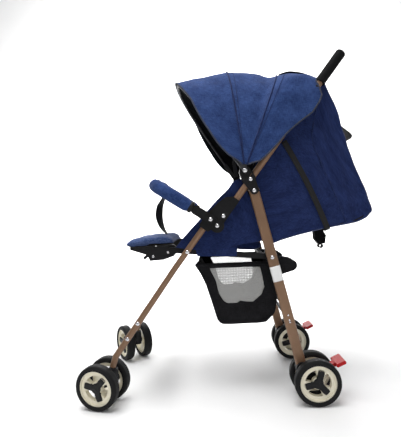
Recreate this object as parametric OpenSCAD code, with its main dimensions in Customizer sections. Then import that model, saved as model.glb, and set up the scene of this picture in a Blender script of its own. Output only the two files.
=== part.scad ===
// Lightweight folding baby stroller. Travel is +X, the stroller's left is +Y, up is +Z.
// Lengths are in millimetres. Places are written from the rear axle (x), the mid-plane (y) and the
// floor (z); placed() then moves them so that the origin is under the centre of the whole box.

/* [Wheels] */
// Outer diameter of every wheel
wheel_d = 128; // [120:1:132]
// Width of a tyre
tyre_w = 30; // [26:1:32]
// Distance between the middles of the two wheels of a pair
pair_gap = 70; // [68:1:74]

/* [Casters] */
// Turn of the left caster from straight ahead, in degrees
caster_turn_left = 13.7; // [0:0.1:60]
// Turn of the right caster from straight ahead, in degrees
caster_turn_right = 55.5; // [0:0.1:60]
// Distance from the swivel axis to the wheel axle
caster_trail = 32; // [28:1:36]

/* [Frame] */
// Distance from the rear axle to the swivel axes
wheelbase = 580; // [570:1:590]
// Distance from the mid-plane to the middle of a leg and of a pair of wheels
half_track = 180; // [178:1:184]
// Slope of the front legs and handle tubes, in degrees from the floor
lean = 52; // [51:0.5:53]
// Outer radius of a front leg
leg_r = 9; // [8.5:0.1:9.2]
// Outer radius of a handle tube
handle_r = 9.5; // [9:0.1:9.8]
// Wall of the frame tubes
wall = 1.5; // [1:0.1:2]
// Width of the flat-oval rear legs
rear_leg_w = 30; // [26:1:31]
// Thickness of the flat-oval rear legs
rear_leg_t = 15; // [13:1:15]

/* [Fabric] */
// Half of the width of the seat and backrest pads
pad_half_w = 148; // [140:1:150]
// Thickness of the backrest pad
back_t = 22; // [16:1:26]
// Half of the width of the canopy
canopy_half_w = 198; // [197:1:202]
// Radius of the canopy above its pivot, at its flattest
canopy_r = 328; // [310:1:340]

/* [Hidden] */
$fn = 48;

wheel_r = wheel_d / 2;
seat_of_tyre_r = 0.79 * wheel_r; // where a tyre sits on its wheel
shoulder = 7; // radius of a tyre's shoulder
axle_r = 4;
rear_wheel_stop = 13; // how far the wheels stand turned on their axles
front_wheel_stop = -12;
pin_r = 4;
play = 0.05; // radial clearance of a pin that turns in a bore

// Unit vectors along the handle tubes (up and back) and square to them (forward and up)
along = [-cos(lean), sin(lean)];
across = [sin(lean), cos(lean)];

leg_foot = [wheelbase, 112];
leg_bend = [570, 141];
leg_knee = [384.6, 393.2]; // the leg bows slightly here
leg_top_len = 181.4; // from the knee up
foot_way = (leg_bend - leg_foot) / norm(leg_bend - leg_foot);
fold_pivot = [259, 509];
// A place beside the handle tube: a along it from the fold pivot, n in front of it
function beside(a, n) = fold_pivot + a * along + n * across;

canopy_pivot = beside(174, 28);
tube_rivet = beside(163, 0);
rear_leg_pivot = beside(143, -27);
bumper_pivot = beside(4, 26);
latch_rivet = beside(33, 2);
handle_top = 600; // along the tube from the fold pivot
grip_start = 500;
grip_r = 14.5;

rear_leg_foot = [34, 92];
rear_slope = atan2(rear_leg_pivot.x - rear_leg_foot.x, rear_leg_pivot.y - rear_leg_foot.y);
function on_rear_leg(z) = [rear_leg_foot.x + (z - rear_leg_foot.y) * tan(rear_slope), z];
rail_rear = on_rear_leg(412); // the rail turns on the rear leg here
rail_front = [347.7, 437.3]; // the rail lies against the front leg here
leg_rest_pivot = [397, 442];
recline_pivot = [112, 458];
brake_pivot = [-22, 80];
fork_thick = 26;
hub_in = 18; // how far a hub reaches from its wheel's middle towards the leg
hub_out = 6;
hinge_t = 24; // thickness of the fold hinges
arm_seat_y = half_track + 6; // the canopy arms turn against this face of their bracket
tongue_t = 13; // thickness of the upper hinge where it turns inside the lower one

// Extent of one caster's wheels square to and along the travel, with round tyre shoulders
function reach(angle_part, other_part) =
    (wheel_r - shoulder) * angle_part + (tyre_w / 2 - shoulder) * other_part + shoulder;
function caster_front(turn) =
    wheelbase + caster_trail * cos(turn) + pair_gap / 2 * sin(turn) + reach(cos(turn), sin(turn));
function caster_side(turn, sway) =
    half_track + sway * caster_trail * sin(turn) + pair_gap / 2 * cos(turn) + reach(sin(turn), cos(turn));
back_corner_x = -190; // the rearmost point of the reclined backrest
mid_x = (max(caster_front(caster_turn_left), caster_front(caster_turn_right)) + back_corner_x) / 2;
mid_y = (caster_side(caster_turn_left, -1) - caster_side(caster_turn_right, 1)) / 2;

module placed() { translate([-mid_x, -mid_y, 0]) children(); }
module both() { children(); mirror([0, 1, 0]) children(); }
module on_side(s) { mirror([0, s < 0 ? 1 : 0, 0]) children(); }

// A plate from y0 to y0 + t whose outline is drawn in x and z
module plate(y0, t) { translate([0, y0 + t, 0]) rotate([90, 0, 0]) linear_extrude(t) children(); }
module centred_plate(y, t) { plate(y - t / 2, t) children(); }

// A flat bar with round ends; its sides stop just inside the ends' widest points
module bar(a, b, w) {
    d = b - a;
    translate(a) rotate(atan2(d.y, d.x)) translate([0, -0.49 * w]) square([norm(d), 0.98 * w]);
    for (p = [a, b]) translate(p) circle(w / 2);
}

// A round rod between two places
module rod(a, b, r) {
    d = b - a;
    translate(a) rotate([0, acos(d.z / norm(d)), atan2(d.y, d.x)]) cylinder(h = norm(d), r = r);
}
function side_point(p, y) = [p.x, y, p.y];
module side_rod(a, b, y, r) { rod(side_point(a, y), side_point(b, y), r); }
module cross_rod(p, y0, y1, r) { rod(side_point(p, y0), side_point(p, y1), r); }

// A domed rivet head that stands on a face at height y, looking outward
module rivet_head(p, y, r = 5.5) {
    rise = 2.6;
    dome = (r * r + rise * rise) / (2 * rise);
    translate([p.x, y, p.y]) rotate([-90, 0, 0])
        intersection() {
            cylinder(h = rise, r = r);
            translate([0, 0, rise - dome]) sphere(dome);
        }
}

/* ---- wheels: drawn about their own middle, axle along y, outer face towards +y ---- */
function arc(cx, cy, r, from, to, steps) =
    [for (i = [0:steps]) [cx + r * cos(from + (to - from) * i / steps), cy + r * sin(from + (to - from) * i / steps)]];

module tyre() {
    color("black") rotate([90, 0, 0]) rotate_extrude($fn = 96) polygon(concat(
        [[seat_of_tyre_r, -tyre_w / 2]],
        arc(wheel_r - shoulder, shoulder - tyre_w / 2, shoulder, -90, 0, 4),
        arc(wheel_r - shoulder, tyre_w / 2 - shoulder, shoulder, 0, 90, 4),
        [[seat_of_tyre_r, tyre_w / 2]]));
}

module wheel_centre() {
    rim_w = tyre_w - 8;
    web_t = 15;
    window_in = 16.5;
    window_out = 36.5;
    arm_l = 37;
    arm_w = 14;
    cap_t = 5;
    color("ivory") rotate([-90, 0, 0]) difference() {
        union() {
            difference() {
                translate([0, 0, -rim_w / 2]) cylinder(h = rim_w, r = seat_of_tyre_r);
                translate([0, 0, -rim_w / 2 - 1]) cylinder(h = rim_w + 2, r = seat_of_tyre_r - 4);
            }
            translate([0, 0, -web_t / 2]) difference() {
                cylinder(h = web_t, r = seat_of_tyre_r - 2);
                for (k = [0:2]) rotate(120 * k) translate([0, 0, -1]) linear_extrude(web_t + 2)
                    intersection() {
                        difference() { circle(window_out); circle(window_in); }
                        polygon([[0, 0], 70 * [cos(25), sin(25)], 90 * [cos(60), sin(60)], 70 * [cos(95), sin(95)]]);
                    }
            }
            translate([0, 0, -hub_in]) cylinder(h = hub_in + hub_out, r = 11);
        }
        translate([0, 0, -hub_in - 1]) cylinder(h = hub_in + hub_out + 2, r = axle_r + play);
    }
    color("black") rotate([-90, 0, 0]) translate([0, 0, hub_out]) {
        linear_extrude(cap_t) union() {
            circle(12);
            for (k = [0:2]) rotate(120 * k) translate([0, -arm_w / 2]) square([arm_l, arm_w]);
        }
    }
}

// Stand the children where the rear wheel is: s is +1 on the left, k is +1 for the outer wheel
module rear_place(s, k) {
    placed() on_side(s) translate([0, half_track + k * pair_gap / 2, wheel_r])
        mirror([0, k < 0 ? 1 : 0, 0]) rotate([0, rear_wheel_stop, 0]) children();
}
// Stand the children at a caster's swivel axis, turned with it; y is then along its axle
module caster_place(s) {
    placed() translate([wheelbase, s * half_track, 0])
        rotate(-(s > 0 ? caster_turn_left : caster_turn_right)) children();
}
module front_place(s, k) {
    caster_place(s) translate([caster_trail, s * k * pair_gap / 2, wheel_r])
        mirror([0, s * k < 0 ? 1 : 0, 0]) rotate([0, front_wheel_stop, 0]) children();
}

/* ---- casters ---- */
module caster_fork(s) {
    caster_place(s) color("dimgray") difference() {
        union() {
            translate([0, 0, 62]) cylinder(h = 46, r = 15);
            centred_plate(0, fork_thick) bar([0, 78], [caster_trail, wheel_r], 28);
        }
        translate([0, 0, 74]) cylinder(h = 40, r = 5 + play);
        translate([caster_trail, 0, wheel_r]) rotate([90, 0, 0]) cylinder(h = 60, r = axle_r, center = true);
    }
}
module front_axle(s) {
    half = pair_gap / 2 + hub_out - 1;
    caster_place(s) color("silver") translate([caster_trail, 0, wheel_r]) rotate([90, 0, 0])
        cylinder(h = 2 * half, r = axle_r, center = true);
}

/* ---- front frame ---- */
module front_leg_shape(r, extra = 0) {
    foot = leg_foot - extra * foot_way;
    side_rod(foot, leg_bend, half_track, r);
    side_rod(leg_bend, leg_knee, half_track, r);
    side_rod(leg_knee, leg_knee + (leg_top_len + extra) * along, half_track, r);
    for (p = [leg_bend, leg_knee]) translate(side_point(p, half_track)) sphere(r + 0.3);
}
module front_leg(s) {
    placed() on_side(s) color("tan") difference() {
        front_leg_shape(leg_r);
        front_leg_shape(leg_r - wall, 5);
    }
}
module lower_hinges() {
    slot_t = tongue_t + 1;
    placed() both() color("black") difference() {
        centred_plate(half_track, hinge_t) union() {
            translate(fold_pivot) circle(20);
            polygon([beside(-30, 12), beside(-30, 43), beside(-8, 45), beside(13, 43), beside(13, 12), beside(0, 0)]);
        }
        cross_rod(fold_pivot, half_track - slot_t / 2, half_track + slot_t / 2, 24);
        front_leg_shape(leg_r);
        cross_rod(fold_pivot, half_track - 20, half_track + 20, pin_r);
    }
}
footrest_middle = [512, 222]; // the middle of the plate between the front legs
footrest_t = 8;
footrest_rivets = [[500, 236.4], [532, 192.8]];
module front_fasteners() {
    face = half_track + hinge_t / 2;
    leg_face = half_track + leg_r;
    placed() both() color("silver") {
        rod([wheelbase, half_track, 76], [wheelbase, half_track, leg_foot.y + 2], 5);
        side_rod(leg_foot + foot_way, leg_foot + 16 * foot_way, half_track, leg_r - wall - 0.3);
        cross_rod(fold_pivot, face - hinge_t, face, pin_r);
        rivet_head(fold_pivot, face);
        rivet_head(rail_front, leg_face);
        for (p = footrest_rivets) rivet_head(p, leg_face);
    }
}
module footrest_plate() {
    bow = 46;
    inner = half_track - leg_r - 1;
    chord = 2 * inner;
    bow_r = (chord * chord / 4 + bow * bow) / (2 * bow);
    slope = 126.3; // direction of the front legs, in degrees
    plate_w = 74;
    placed() color("dimgray")
        translate([footrest_middle.x, 0, footrest_middle.y])
        rotate([0, 90 - slope, 0]) rotate([0, 90, 0])
        translate([0, 0, -footrest_t / 2]) linear_extrude(footrest_t, center = true) intersection() {
            translate([-plate_w / 2, -inner]) square([plate_w, chord]);
            translate([bow_r - plate_w / 2 - 40, 0]) circle(bow_r);
        }
}

/* ---- bumper ---- */
bumper_rise = 34; // slope of the bumper's arms
bumper_len = 196;
corner_r = 46; // radius of the bumper's corners
bumper_y = half_track + hinge_t / 2 + 6.5; // the middle of an arm
function on_bumper(d) = bumper_pivot + d * [cos(bumper_rise), sin(bumper_rise)];
module bumper_bar() {
    placed() color("black") {
        both() {
            centred_plate(bumper_y, 9) bar(on_bumper(0), on_bumper(50), 27);
            side_rod(on_bumper(45), on_bumper(bumper_len - corner_r - 1), bumper_y - 2, 6);
            rivet_head(bumper_pivot, bumper_y + 4.5);
        }
    }
}
module bumper_pad() {
    r = 17;
    corner = corner_r;
    tip = on_bumper(bumper_len - corner - 0.3);
    side_y = bumper_y - 2;
    y_in = side_y - corner;
    placed() color("royalblue") {
        both() {
            difference() {
                side_rod(on_bumper(66), tip, side_y, r);
                side_rod(on_bumper(60), on_bumper(bumper_len), side_y, 6);
            }
            translate(side_point(tip, y_in)) rotate([0, -bumper_rise, 0])
                rotate_extrude(angle = 89.6) translate([corner, 0]) circle(r);
        }
        cross_rod(on_bumper(bumper_len), -y_in, y_in, r);
    }
}
module crotch_strap() {
    w = 38;
    placed() color("black") centred_plate(0, w) difference() {
        union() {
            translate(on_bumper(bumper_len)) circle(20.6);
            polygon([[434, 619], [449, 621], [444, 560], [437, 486], [434, 486], [440, 560]]);
        }
        translate(on_bumper(bumper_len)) circle(17.4);
    }
}

/* ---- upper frame ---- */
module handle_tube(s) {
    placed() on_side(s) color("tan") difference() {
        side_rod(beside(27, 0), beside(handle_top, 0), half_track, handle_r);
        side_rod(beside(17, 0), beside(handle_top + 5, 0), half_track, handle_r - wall);
    }
}
module grip(s) {
    placed() on_side(s) color("black") difference() {
        union() {
            side_rod(beside(grip_start, 0), beside(handle_top, 0), half_track, grip_r);
            translate(side_point(beside(handle_top, 0), half_track)) rotate([0, lean - 90, 0]) {
                cylinder(h = 3.5, r1 = grip_r, r2 = grip_r - 2);
                translate([0, 0, 3.5]) cylinder(h = 3, r1 = grip_r - 2, r2 = grip_r - 7);
            }
        }
        side_rod(beside(grip_start - 2, 0), beside(handle_top, 0), half_track, handle_r);
    }
}
module handle_crossbar() {
    p = beside(468, 0);
    placed() color("black") difference() {
        union() {
            cross_rod(p, -half_track + 9.8, half_track - 9.8, 8.5);
            both() side_rod(beside(452, 0), beside(484, 0), half_track, 13);
        }
        both() side_rod(beside(440, 0), beside(500, 0), half_track, handle_r);
    }
}
module upper_hinges() {
    placed() both() color("black") difference() {
        union() {
            difference() {
                centred_plate(half_track, hinge_t) polygon([
                    beside(14, 15), beside(14, 43), beside(53, 37), beside(80, 28),
                    beside(94, 12), beside(94, -10.5), beside(22, -10.5)]);
                cross_rod(fold_pivot, half_track - 20, half_track + 20, 21);
            }
            centred_plate(half_track, tongue_t) union() {
                translate(fold_pivot) circle(17);
                polygon([beside(0, -13), beside(30, -10), beside(30, 14), beside(0, 15)]);
            }
        }
        side_rod(beside(27, 0), beside(110, 0), half_track, handle_r);
        cross_rod(fold_pivot, half_track - 20, half_track + 20, pin_r + play);
    }
}
module canopy_brackets() {
    placed() both() color("black") difference() {
        centred_plate(half_track, hinge_t) union() {
            bar(canopy_pivot, tube_rivet, 30);
            polygon([beside(186, 10), beside(150, -40), beside(134, -34), beside(134, -18), beside(144, 14), beside(160, 38)]);
            bar(tube_rivet, rear_leg_pivot, 23);
        }
        centred_plate(half_track, rear_leg_t + 1.5) union() {
            translate(rear_leg_pivot) circle(16);
            bar(rear_leg_pivot, rear_leg_pivot + [12, -36], 31.5);
            bar(rear_leg_pivot, rear_leg_pivot + [-30, -8], 31.5);
            bar(rear_leg_pivot, rear_leg_pivot + [-34, 2], 31.5);
        }
        side_rod(beside(100, 0), beside(230, 0), half_track, handle_r);
        cross_rod(rear_leg_pivot, half_track - 20, half_track + 20, pin_r);
        cross_rod(canopy_pivot, arm_seat_y, half_track + 20, 22);
    }
}
module upper_rivets() {
    face = half_track + hinge_t / 2;
    placed() both() color("silver") {
        cross_rod(rear_leg_pivot, face - hinge_t, face, pin_r);
        for (p = [tube_rivet, rear_leg_pivot, latch_rivet]) rivet_head(p, face);
        cross_rod(canopy_pivot, arm_seat_y, arm_seat_y + 6.8, pin_r);
        rivet_head(canopy_pivot, arm_seat_y + 6.8, 6.5);
    }
}

/* ---- canopy ---- */
bow_front_angle = 57;
bow_mid_angle = 84;
rear_angle = 130.5; // the rear edge lies just in front of the handle tubes
roundness = 2.6; // the canopy's section, from 2 for an ellipse to more for a box
function top_radius(angle) = canopy_r + 0.02 * pow(angle - 100, 2);
function signed_pow(x, p) = sign(x) * pow(abs(x), p);
// A point of the canopy: angle about its pivot, t from 0 on the right to 180 on the left
function canopy_point(angle, t, thin, lift = 0) =
    let (out = (canopy_half_w - thin) * -signed_pow(cos(t), 2 / roundness),
         up = lift + (top_radius(angle) - thin - lift) * pow(sin(t), 2 / roundness))
    [canopy_pivot.x + up * cos(angle), out, canopy_pivot.y + up * sin(angle)];
module canopy_shell(from, to, slices, first_t = 3, steps = 22) {
    thick = 4; // of the fabric with its lining
    rows = [for (i = [0:slices]) from + (to - from) * i / slices];
    ring = [for (i = [0:steps]) first_t + (180 - 2 * first_t) * i / steps];
    n = steps + 1;
    outer = [for (a = rows, t = ring) canopy_point(a, t, 0)];
    inner = [for (a = rows, t = ring) canopy_point(a, t, thick)];
    m = len(outer);
    function id(i, j) = i * n + j;
    skin = [for (i = [0:slices - 1], j = [0:steps - 1]) [id(i, j), id(i + 1, j), id(i + 1, j + 1), id(i, j + 1)]];
    ends = concat(
        [for (j = [0:steps - 1]) [id(0, j), id(0, j + 1), m + id(0, j + 1), m + id(0, j)]],
        [for (j = [0:steps - 1]) [id(slices, j + 1), id(slices, j), m + id(slices, j), m + id(slices, j + 1)]],
        [for (i = [0:slices - 1]) [id(i + 1, 0), id(i, 0), m + id(i, 0), m + id(i + 1, 0)]],
        [for (i = [0:slices - 1]) [id(i, steps), id(i + 1, steps), m + id(i + 1, steps), m + id(i, steps)]]);
    lining = [for (f = skin) [m + f[3], m + f[2], m + f[1], m + f[0]]];
    polyhedron(concat(outer, inner), concat(skin, lining, ends));
}
module canopy_front() {
    placed() color("royalblue") canopy_shell(bow_front_angle - 1, bow_mid_angle - 1.2, 5);
}
module canopy_rear() {
    placed() color("royalblue") canopy_shell(bow_mid_angle + 1.2, rear_angle, 9);
}
module canopy_bow(angle, arm_y) {
    arm_t = 2.8;
    steps = 16;
    first_t = 8;
    inset = 10;
    function hoop(i) = canopy_point(angle, first_t + (180 - 2 * first_t) * i / steps, inset);
    placed() color("dimgray") {
        for (i = [0:steps - 1]) rod(hoop(i), hoop(i + 1), 4);
        for (i = [1:steps - 1]) translate(hoop(i)) sphere(4.1);
        both() difference() {
            plate(arm_y, arm_t) bar(canopy_pivot, canopy_pivot + 74 * [cos(angle), sin(angle)], 15);
            cross_rod(canopy_pivot, 0, 300, pin_r + play);
        }
    }
}
module canopy_bow_front() { canopy_bow(bow_front_angle, arm_seat_y + 3.4); }
module canopy_bow_mid() { canopy_bow(bow_mid_angle, arm_seat_y + 0.3); }

/* ---- rear frame ---- */
module leg_section(w, t) {
    square([w - t, t], center = true);
    for (s = [-1, 1]) translate([s * (w - t) / 2, 0]) circle(t / 2 - 0.01);
}
module rear_leg_shape(w, t, from, to) {
    translate(side_point(rear_leg_foot, half_track)) rotate([0, rear_slope, 0])
        translate([0, 0, from]) linear_extrude(to - from) leg_section(w, t);
}
rear_leg_len = norm(rear_leg_pivot - rear_leg_foot);
module rear_leg(s) {
    placed() on_side(s) color("tan") difference() {
        union() {
            rear_leg_shape(rear_leg_w, rear_leg_t, 0, rear_leg_len);
            centred_plate(half_track, rear_leg_t - 0.2) translate(rear_leg_pivot) circle(rear_leg_w / 2 - 0.4);
        }
        rear_leg_shape(rear_leg_w - 2 * wall, rear_leg_t - 2 * wall, -5, rear_leg_len - 24);
        cross_rod(rear_leg_pivot, half_track - 20, half_track + 20, pin_r + play);
        cross_rod(rail_rear, half_track - 20, half_track + 20, pin_r);
    }
}
module rear_axle() {
    half = pair_gap / 2 + hub_out - 1;
    placed() both() color("silver") cross_rod([0, wheel_r], half_track - half, half_track + half, axle_r);
}
module rear_wheel_housings() {
    ear = 3;
    placed() both() color("black") difference() {
        union() {
            centred_plate(half_track, fork_thick) union() {
                bar([0, wheel_r], [32, 84], 30);
                bar(rear_leg_foot - [0, 4], rear_leg_foot + 2 * [sin(rear_slope), cos(rear_slope)], 36);
            }
            for (y = [-fork_thick / 2 - ear + 0.5, fork_thick / 2 - 0.5])
                plate(half_track + y, ear) bar([0, wheel_r], brake_pivot, 17);
        }
        rear_leg_shape(rear_leg_w, rear_leg_t, 0, 60);
        cross_rod([0, wheel_r], half_track - 30, half_track + 30, axle_r);
        cross_rod(brake_pivot, half_track - 30, half_track + 30, 3);
    }
}
module brake_pedal(s) {
    root_t = fork_thick - 2;
    placed() on_side(s) color("red") difference() {
        union() {
            centred_plate(half_track, root_t) union() {
                translate(brake_pivot) circle(8);
                bar(brake_pivot, [-58, 104], 10);
            }
            centred_plate(half_track, 56) bar([-60, 106], [-78, 114], 10);
        }
        cross_rod(brake_pivot, half_track - 30, half_track + 30, 3 + play);
    }
}
module rear_braces() {
    y = half_track - rear_leg_t / 2;
    placed() color("dimgray") {
        cross_rod(on_rear_leg(232), -y, y, 5);
        cross_rod(on_rear_leg(262), -y, y, 4);
    }
}
module rear_fasteners() {
    face = half_track + rear_leg_t / 2;
    placed() both() color("silver") {
        cross_rod(rail_rear, half_track - 26, face, pin_r);
        rivet_head(rail_rear, face);
        for (z = [246, 232, 226]) rivet_head(on_rear_leg(z), face, 3);
        cross_rod(brake_pivot, half_track - fork_thick / 2 - 2.5, half_track + fork_thick / 2 + 2.5, 3);
    }
}

/* ---- seat ---- */
rail_y = half_track - 22.5; // the middle of a rail
rail_t = 7;
module seat_rails() {
    gap = 0.2;
    inner = rail_y - rail_t / 2 - gap;
    placed() color("black") {
        both() difference() {
            centred_plate(rail_y, rail_t) union() {
                bar(rail_rear, rail_front, 17);
                bar(rail_front, leg_rest_pivot, 17);
                bar([118, 417], recline_pivot, 15);
            }
            cross_rod(rail_rear, 0, half_track, pin_r + play);
        }
        both() cross_rod(recline_pivot, pad_half_w + 1, rail_y, pin_r);
        both() cross_rod(leg_rest_pivot, bracket_y - 3, rail_y, pin_r);
        for (p = [[128, 416], [336, 434]]) cross_rod(p, -inner, inner, 5.5);
    }
}
module seat_pad() {
    placed() color("midnightblue") plate(-pad_half_w, 2 * pad_half_w)
        polygon([[122, 431], [128, 456], [250, 463], [360, 468], [374, 458], [372, 446], [330, 444]]);
}
module side_wings() {
    placed() both() color("midnightblue") plate(half_track - 18, 3.5)
        polygon([[381, 448], [356, 477], [303, 531], [255, 581], [208, 632], [184, 640],
                 [150, 560], [124, 463], [181, 453], [240, 443], [325, 441]]);
}
module basket() {
    w = 300;
    skin = 4;
    placed() color("black") difference() {
        plate(-w / 2, w) polygon([[346, 408], [328, 394], [310, 366], [296, 332], [283, 288], [267, 230],
            [256, 218],
            [128, 220], [106, 240], [92, 290], [88, 340], [60, 362], [30, 366], [40, 392], [106, 398],
                [120, 392], [290, 392]]);
        plate(-w / 2 + skin, w - 2 * skin) polygon([[322, 394], [305, 364], [291, 332], [279, 289],
            [264, 234], [254, 223],
            [130, 225], [111, 242], [98, 291], [94, 341], [100, 380], [120, 400], [290, 400]]);
    }
}

/* ---- leg rest ---- */
bracket_y = rail_y - rail_t / 2 - 4.5;
module leg_rest_brackets() {
    placed() both() color("black") difference() {
        centred_plate(bracket_y, 6) union() {
            translate(leg_rest_pivot) circle(17);
            polygon([[388, 425], [420, 414], [462, 412], [470, 430], [520, 447], [520, 455], [404, 455]]);
        }
        cross_rod(leg_rest_pivot, 0, half_track, pin_r + play);
    }
}
module leg_rest_pad() {
    placed() color("royalblue") plate(-bracket_y + 3.4, 2 * (bracket_y - 3.4))
        polygon([[386, 458], [394, 476], [416, 483], [470, 480], [522, 480], [540, 474], [542, 464],
            [520, 458]]);
}
module leg_rest_lever() {
    placed() color("black") {
        cross_rod([456, 440], -bracket_y + 3.2, bracket_y - 3.2, 5);
        both() plate(bracket_y - 13, 8) bar([456, 440], [479, 421], 9);
    }
}

/* ---- backrest ---- */
module backrest_pad() {
    lug_end = rail_y - rail_t / 2 - 0.6;
    placed() color("midnightblue") difference() {
        union() {
            plate(-pad_half_w, 2 * pad_half_w)
                polygon([[112, 448], [110, 448 + back_t], [-45, 494 + back_t], [-130, 506 + back_t],
                    [-160, 520 + back_t],
                         [-174, 552], [-190, 552], [-190, 534], [-176, 514], [-146, 502], [-45, 487]]);
            both() cross_rod(recline_pivot, pad_half_w - 8, lug_end, 9);
        }
        both() cross_rod(recline_pivot, pad_half_w, half_track, pin_r + play);
    }
}
module harness() {
    strap_w = 28;
    lift = back_t + 0.6;
    placed() color("black") {
        for (y = [-62, 62]) centred_plate(y, strap_w)
            polygon([[100, 452 + lift], [-45, 494 + lift], [-110, 503.5 + lift], [-110, 506 + lift],
                [-45, 496.5 + lift], [100, 454.5 + lift]]);
    }
}
module recline_buckle() {
    placed() color("black") {
        centred_plate(0, 30) polygon([[-58, 476], [-84, 480], [-96, 458], [-92, 432], [-72, 430], [-60, 446]]);
        centred_plate(0, 20) difference() { translate([-79, 424]) circle(8); translate([-79, 424]) circle(4.5); }
        centred_plate(0, 2 * pad_half_w + 26) polygon([[-48, 483.5], [-66, 486], [-66, 483.6], [-48, 481]]);
    }
}
module recline_straps() {
    placed() both() color("black") plate(half_track - 12.6, 1.8) bar([58, 735], [-52, 497], 16);
}

/* ---- rear fabric shell: side panels behind the tubes and a curtain round the back ---- */
side_panel = [[112, 474], [120, 560], [150, 640], [150, 676], [58, 764], [-62, 892], [-72, 902], [-86, 882],
              [-104, 830], [-110, 789], [-134, 718], [-160, 640], [-184, 572], [-186, 556], [-120, 540],
                  [-45, 520]];
inner_panel = [[114, 474], [122, 560], [152, 640], [153, 680], [60, 770], [-60, 898], [-70, 888], [-78, 876],
               [-93, 824], [-100, 787], [-124, 714], [-150, 636], [-174, 569], [-176, 549], [-120, 530],
                   [-45, 510]];
module rear_shell() {
    skin = 4;
    w = half_track - 14;
    placed() color("midnightblue") difference() {
        plate(-w, 2 * w) polygon(side_panel);
        plate(-w + skin, 2 * (w - skin)) polygon(inner_panel);
    }
}

rear_place(1, 1) tyre();  // tyre_rear_left_outer
rear_place(1, -1) tyre();  // tyre_rear_left_inner
rear_place(-1, -1) tyre();  // tyre_rear_right_inner
rear_place(-1, 1) tyre();  // tyre_rear_right_outer
front_place(1, 1) tyre();  // tyre_front_left_outer
front_place(1, -1) tyre();  // tyre_front_left_inner
front_place(-1, -1) tyre();  // tyre_front_right_inner
front_place(-1, 1) tyre();  // tyre_front_right_outer
rear_place(1, 1) wheel_centre();  // wheel_rear_left_outer
rear_place(1, -1) wheel_centre();  // wheel_rear_left_inner
rear_place(-1, -1) wheel_centre();  // wheel_rear_right_inner
rear_place(-1, 1) wheel_centre();  // wheel_rear_right_outer
front_place(1, 1) wheel_centre();  // wheel_front_left_outer
front_place(1, -1) wheel_centre();  // wheel_front_left_inner
front_place(-1, -1) wheel_centre();  // wheel_front_right_inner
front_place(-1, 1) wheel_centre();  // wheel_front_right_outer
front_leg(1);  // front_leg_left
front_leg(-1);  // front_leg_right
lower_hinges();
footrest_plate();
caster_fork(1);  // caster_fork_left
caster_fork(-1);  // caster_fork_right
front_axle(1);  // front_axle_left
front_axle(-1);  // front_axle_right
front_fasteners();
handle_tube(1);  // handle_tube_left
handle_tube(-1);  // handle_tube_right
grip(1);  // grip_left
grip(-1);  // grip_right
handle_crossbar();
upper_hinges();
canopy_brackets();
upper_rivets();
rear_leg(1);  // rear_leg_left
rear_leg(-1);  // rear_leg_right
rear_axle();
rear_wheel_housings();
rear_braces();
rear_fasteners();
brake_pedal(1);  // brake_pedal_left
brake_pedal(-1);  // brake_pedal_right
seat_rails();
seat_pad();
side_wings();
basket();
leg_rest_brackets();
leg_rest_pad();
leg_rest_lever();
backrest_pad();
harness();
recline_buckle();
recline_straps();
rear_shell();
canopy_bow_front();
canopy_bow_mid();
canopy_front();
canopy_rear();
bumper_bar();
bumper_pad();
crotch_strap();
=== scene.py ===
import math
import bmesh
import bpy
import numpy as np
from mathutils import Matrix, Vector, noise


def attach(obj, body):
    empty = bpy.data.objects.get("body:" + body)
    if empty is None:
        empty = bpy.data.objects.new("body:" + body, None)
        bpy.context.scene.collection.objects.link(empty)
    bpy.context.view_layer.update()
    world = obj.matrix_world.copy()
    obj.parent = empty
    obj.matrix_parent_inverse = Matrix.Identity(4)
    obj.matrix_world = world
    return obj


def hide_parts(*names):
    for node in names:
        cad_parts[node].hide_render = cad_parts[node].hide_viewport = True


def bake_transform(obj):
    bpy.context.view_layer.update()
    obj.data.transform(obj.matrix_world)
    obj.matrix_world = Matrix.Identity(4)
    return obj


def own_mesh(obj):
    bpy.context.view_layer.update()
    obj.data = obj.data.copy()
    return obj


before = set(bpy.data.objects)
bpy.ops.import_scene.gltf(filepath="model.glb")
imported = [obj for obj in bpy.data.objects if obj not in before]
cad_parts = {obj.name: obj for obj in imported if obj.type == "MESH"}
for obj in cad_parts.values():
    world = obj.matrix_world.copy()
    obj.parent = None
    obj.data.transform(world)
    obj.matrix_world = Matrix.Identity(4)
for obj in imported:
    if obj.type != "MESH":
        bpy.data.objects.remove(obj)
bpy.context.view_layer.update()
scene = bpy.context.scene
scene.view_settings.view_transform = "Standard"
MID = np.array([246.826, -25.0026, 0.0])  # the row frame's origin, in mm from the rear axle
PIVOT = np.array([173.94, 663.35])  # the canopy turns here, in x and z
LEFT, RIGHT = 1, -1
SIDES = ((LEFT, "left"), (RIGHT, "right"))
FOCAL_PX, PHOTO_PX = 390.27, 437  # the camera that was solved from the photo: focal length and height in pixels


def full_turn(n):
    return np.linspace(0, 2 * np.pi, n, endpoint=False)


def at(p):
    """Millimetres from the rear axle to metres in the row frame."""
    return (np.asarray(p, float) - MID) / 1000


def added(name, data):
    obj = bpy.data.objects.new(name, data)
    scene.collection.objects.link(obj)
    return obj


# ---- camera and lights ----
camera = added("camera", bpy.data.cameras.new("camera"))
camera.data.sensor_width = 36
camera.data.lens = camera.data.sensor_width * FOCAL_PX / PHOTO_PX
camera.matrix_world = Matrix((
    (-0.99849204, -0.04335565, -0.03367407, 0.02150),
    (-0.03326479, -0.0101273, 0.99939526, 1.32701),
    (-0.04367046, 0.99900837, 0.00866982, 0.54150),
    (0, 0, 0, 1),
))
camera.data.clip_start = 0.05
scene.camera = camera


def area_light(name, place, target, size, power):
    light = bpy.data.lights.new(name, "AREA")
    light.shape, light.size, light.energy = "DISK", size, power
    lamp = added(name, light)
    lamp.location = place
    lamp.rotation_euler = (Vector(target) - Vector(place)).to_track_quat("-Z", "Y").to_euler()


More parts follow.
